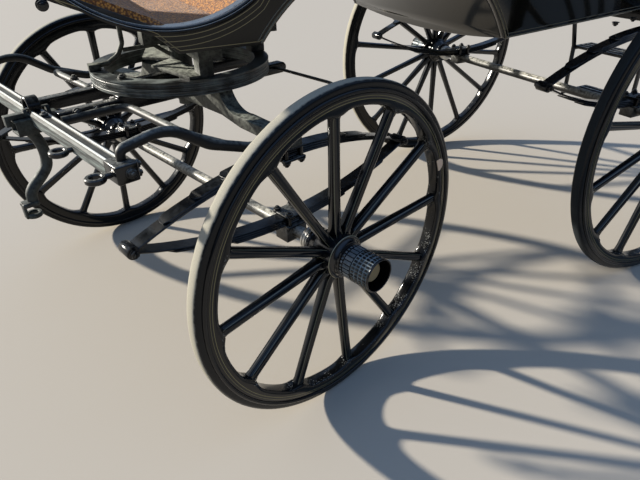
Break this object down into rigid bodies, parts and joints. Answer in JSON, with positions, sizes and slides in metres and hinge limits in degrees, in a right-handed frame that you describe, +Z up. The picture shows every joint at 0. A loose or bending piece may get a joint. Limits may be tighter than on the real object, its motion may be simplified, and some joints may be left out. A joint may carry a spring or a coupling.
{
  "type": "horse drawn wagonette carriage",
  "caption": "Four-wheeled sprung carriage with a steering forecarriage, driver's seat over a curved footwell, side benches and a rear door with a step.",
  "frame": {"origin": "centre of the bottom of the bounding box, on the ground", "axes": "+X forward, +Y to the near side, +Z up"},
  "size_m": [2.9174, 1.733, 1.739],
  "materials": {
    "rubber": "worn solid rubber with dust on the tread",
    "gloss_wood": "gloss coach paint on ash, fine dull gold lines",
    "black_panel": "polished coach paint",
    "floor_boards": "painted boards",
    "coir": "brown coir matting",
    "seat_cloth": "buttonless box cushions in drab cloth",
    "black_leather": "patent leather",
    "black_iron": "gloss painted wrought iron, dusty and worn"
  },
  "bodies": {
    "carriage": {"side_panel_near": "black_panel", "side_panel_far": "black_panel", "wheel_arch": "black_panel", "rear_floor": "floor_boards", "boot_floor": "floor_boards", "foot_mat": "coir", "driver_seat": "black_panel", "bench_near": "black_panel", "bench_far": "black_panel", "rear_panel": "black_panel", "dashboard": "black_leather", "driver_cushion": "seat_cloth", "bench_cushions": "seat_cloth", "seat_rails": "black_iron", "back_pads": "black_leather", "rear_cross_bar": "black_iron", "rear_step": "black_iron", "rear_axle": "black_iron", "rear_spring_near": "black_iron", "rear_spring_far": "black_iron", "upper_ring": "black_iron", "top_bed": "black_iron"},
    "forecarriage": {"front_axle": "black_iron", "front_spring_near": "black_iron", "front_spring_far": "black_iron", "lower_ring": "black_iron", "lower_bed": "black_iron", "futchells": "black_iron", "front_stays": "black_iron", "rear_stays": "black_iron", "splinter_bar": "black_iron", "pole_socket": "black_iron", "drop_iron": "black_iron"},
    "door": {"rear_door": "black_panel"},
    "wheel_front_near": {"front_tyre_near": "rubber", "front_rim_near": "gloss_wood", "front_spokes_near": "gloss_wood"},
    "wheel_front_far": {"front_tyre_far": "rubber", "front_rim_far": "gloss_wood", "front_spokes_far": "gloss_wood"},
    "wheel_rear_near": {"rear_tyre_near": "rubber", "rear_rim_near": "gloss_wood", "rear_spokes_near": "gloss_wood"},
    "wheel_rear_far": {"rear_tyre_far": "rubber", "rear_rim_far": "gloss_wood", "rear_spokes_far": "gloss_wood"}
  },
  "joints": [
    {"name": "steering", "type": "hinge", "parent": "carriage", "child": "forecarriage", "pos_m": [0.81729, 0, 0.78], "axis": [0, 0, 1], "range_deg": [-95.1, 64.9]},
    {"name": "door_swing", "type": "hinge", "parent": "carriage", "child": "door", "pos_m": [-1.2667, -0.25, 1.1], "axis": [0, 0, 1], "range_deg": [0, 110]},
    {"name": "front_wheel_near_spin", "type": "hinge", "parent": "forecarriage", "child": "wheel_front_near", "pos_m": [0.63299, 0.68307, 0.465], "axis": [-0.2605, 0.9655, 0], "continuous": true},
    {"name": "rear_wheel_near_spin", "type": "hinge", "parent": "carriage", "child": "wheel_rear_near", "pos_m": [-0.7877, 0.7315, 0.581], "axis": [0, 1, 0], "continuous": true},
    {"name": "front_wheel_far_spin", "type": "hinge", "parent": "forecarriage", "child": "wheel_front_far", "pos_m": [1.0016, -0.68307, 0.465], "axis": [-0.2605, 0.9655, 0], "continuous": true},
    {"name": "rear_wheel_far_spin", "type": "hinge", "parent": "carriage", "child": "wheel_rear_far", "pos_m": [-0.7877, -0.7315, 0.581], "axis": [0, 1, 0], "continuous": true}
  ]
}
